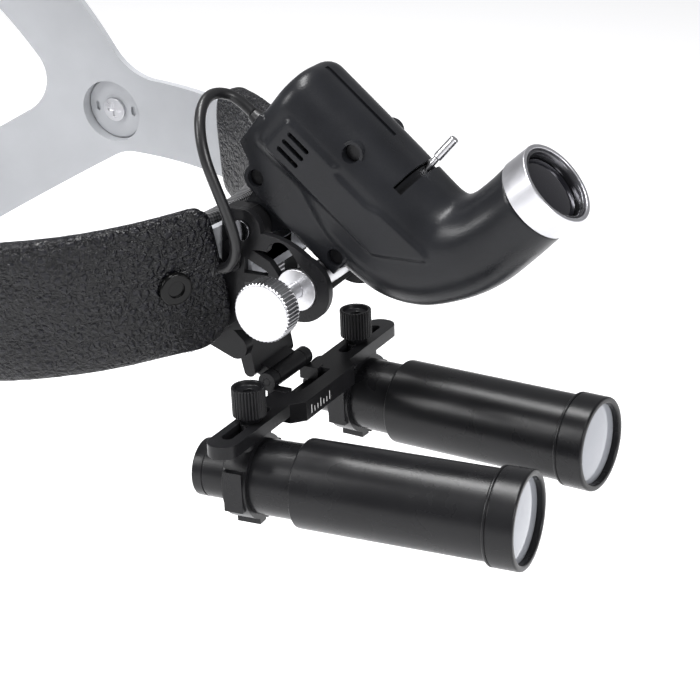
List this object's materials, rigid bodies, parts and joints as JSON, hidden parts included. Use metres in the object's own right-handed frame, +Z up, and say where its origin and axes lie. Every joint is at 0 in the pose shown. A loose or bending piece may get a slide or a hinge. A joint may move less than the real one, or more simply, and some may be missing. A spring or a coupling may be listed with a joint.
{
  "type": "dental loupes",
  "caption": "Headband loupes: two long barrels on a slotted bar, a tilting arm clamped by knurled knobs, an elbow headlight and a padded band with crown and nape straps.",
  "frame": {"origin": "middle of the head opening, level with the band's middle height", "axes": "+X to the wearer's left, -Y forward along the barrels, +Z up"},
  "size_m": [0.1604, 0.3117, 0.1804],
  "materials": {
    "barrel_black": "black anodised, fine satin sheen",
    "black_metal": "black anodised, semi gloss",
    "silver_metal": "bright turned and knurled",
    "grey_metal": "bead blasted",
    "lens_glass": "coated optical glass",
    "black_plastic": "satin moulded plastic with a very fine texture",
    "cable_black": "smooth flexible sheath",
    "grey_plastic": "light grey flexible moulded plastic",
    "button_black": "gloss black",
    "leather_black": "grained black leather, glossy",
    "pad_fabric": "black knitted lining over foam",
    "emitter_white": "white board with a clear dome",
    "mirror": "first-surface mirror"
  },
  "bodies": {
    "headband": {"cheek_left": "black_metal", "cheek_right": "black_metal", "base_plate": "grey_metal", "base_screws": "silver_metal", "lamp_hinge_pin": "silver_metal", "pivot_shaft": "silver_metal", "cable_grommet": "cable_black", "band_strap": "grey_plastic", "temple_discs": "grey_plastic", "temple_rivets": "silver_metal", "cover_left": "leather_black", "cover_right": "leather_black", "cover_buttons": "button_black", "brow_pad": "pad_fabric", "nape_housing": "grey_plastic", "cable": "cable_black"},
    "nape_knob": {"nape_knob": "grey_plastic"},
    "loupe_arm": {"loupe_arm": "black_metal", "clamp_shaft": "silver_metal", "clamp_sleeve": "silver_metal", "clamp_washers": "silver_metal", "bar_hinge_pin": "silver_metal"},
    "loupe_bar": {"loupe_bar": "black_metal"},
    "lamp": {"lamp_housing_left": "black_plastic", "lamp_housing_right": "black_plastic", "lamp_screws": "black_metal", "heat_sink": "grey_metal", "emitter": "emitter_white", "condenser_lens": "lens_glass", "fold_mirror": "mirror", "outlet_ring": "silver_metal", "outlet_bezel": "black_plastic", "outlet_lens": "lens_glass", "cable_gland": "cable_black"},
    "iris": {"iris_ring": "black_plastic", "iris_lever": "silver_metal"},
    "clamp_knob_left": {"clamp_knob_left": "silver_metal"},
    "pivot_knob_left": {"pivot_knob_left": "silver_metal"},
    "bush_left": {"slide_bush_left": "black_metal"},
    "barrel_left": {"clamp_ring_left": "barrel_black", "eyepiece_left": "barrel_black", "eye_lens_left": "lens_glass", "rear_barrel_left": "barrel_black", "prism_left": "lens_glass", "main_barrel_left": "barrel_black", "objective_cap_left": "barrel_black", "objective_lens_left": "lens_glass"},
    "thumb_knob_left": {"thumb_knob_left": "black_metal"},
    "clamp_knob_right": {"clamp_knob_right": "silver_metal"},
    "pivot_knob_right": {"pivot_knob_right": "silver_metal"},
    "bush_right": {"slide_bush_right": "black_metal"},
    "barrel_right": {"clamp_ring_right": "barrel_black", "eyepiece_right": "barrel_black", "eye_lens_right": "lens_glass", "rear_barrel_right": "barrel_black", "prism_right": "lens_glass", "main_barrel_right": "barrel_black", "objective_cap_right": "barrel_black", "objective_lens_right": "lens_glass"},
    "thumb_knob_right": {"thumb_knob_right": "black_metal"}
  },
  "joints": [
    {"name": "loupe_flip", "type": "hinge", "parent": "headband", "child": "loupe_arm", "pos_m": [0, -0.084, -0.021], "axis": [-1, 0, 0], "range_deg": [0, 16]},
    {"name": "bar_tilt", "type": "hinge", "parent": "loupe_arm", "child": "loupe_bar", "pos_m": [0, -0.10491, -0.03989], "axis": [-1, 0, 0], "range_deg": [-8, 12]},
    {"name": "lamp_tilt", "type": "hinge", "parent": "headband", "child": "lamp", "pos_m": [0, -0.1015, 0.0123], "axis": [-1, 0, 0], "range_deg": [-6, 25], "deforming": ["cable"]},
    {"name": "iris_turn", "type": "hinge", "parent": "lamp", "child": "iris", "pos_m": [0, -0.14426, 0.02318], "axis": [0, 0.788, 0.6157], "range_deg": [-58, 30]},
    {"name": "nape_knob_turn", "type": "hinge", "parent": "headband", "child": "nape_knob", "pos_m": [0.00523, 0.08901, -0.04601], "axis": [0.0374, 0.9421, -0.3334], "continuous": true},
    {"name": "clamp_knob_turn_left", "type": "hinge", "parent": "loupe_arm", "child": "clamp_knob_left", "pos_m": [0, -0.1205, -0.0032], "axis": [1, 0, 0], "continuous": true},
    {"name": "pivot_knob_turn_left", "type": "hinge", "parent": "headband", "child": "pivot_knob_left", "pos_m": [0, -0.084, -0.021], "axis": [1, 0, 0], "continuous": true},
    {"name": "pupil_slide_left", "type": "slide", "parent": "loupe_bar", "child": "bush_left", "axis": [1, 0, 0], "range_m": [-0.006, 0.01]},
    {"name": "converge_left", "type": "hinge", "parent": "bush_left", "child": "barrel_left", "pos_m": [0.03395, -0.112, -0.042], "axis": [0, 0.0419, 0.9991], "range_deg": [-4, 4]},
    {"name": "thumb_knob_turn_left", "type": "hinge", "parent": "barrel_left", "child": "thumb_knob_left", "pos_m": [0.03395, -0.112, -0.042], "axis": [0, 0.0419, 0.9991], "continuous": true},
    {"name": "clamp_knob_turn_right", "type": "hinge", "parent": "loupe_arm", "child": "clamp_knob_right", "pos_m": [0, -0.1205, -0.0032], "axis": [1, 0, 0], "continuous": true},
    {"name": "pivot_knob_turn_right", "type": "hinge", "parent": "headband", "child": "pivot_knob_right", "pos_m": [0, -0.084, -0.021], "axis": [1, 0, 0], "continuous": true},
    {"name": "pupil_slide_right", "type": "slide", "parent": "loupe_bar", "child": "bush_right", "axis": [-1, 0, 0], "range_m": [-0.006, 0.01]},
    {"name": "converge_right", "type": "hinge", "parent": "bush_right", "child": "barrel_right", "pos_m": [-0.03395, -0.112, -0.042], "axis": [0, 0.0419, 0.9991], "range_deg": [-4, 4]},
    {"name": "thumb_knob_turn_right", "type": "hinge", "parent": "barrel_right", "child": "thumb_knob_right", "pos_m": [-0.03395, -0.112, -0.042], "axis": [0, 0.0419, 0.9991], "continuous": true}
  ]
}
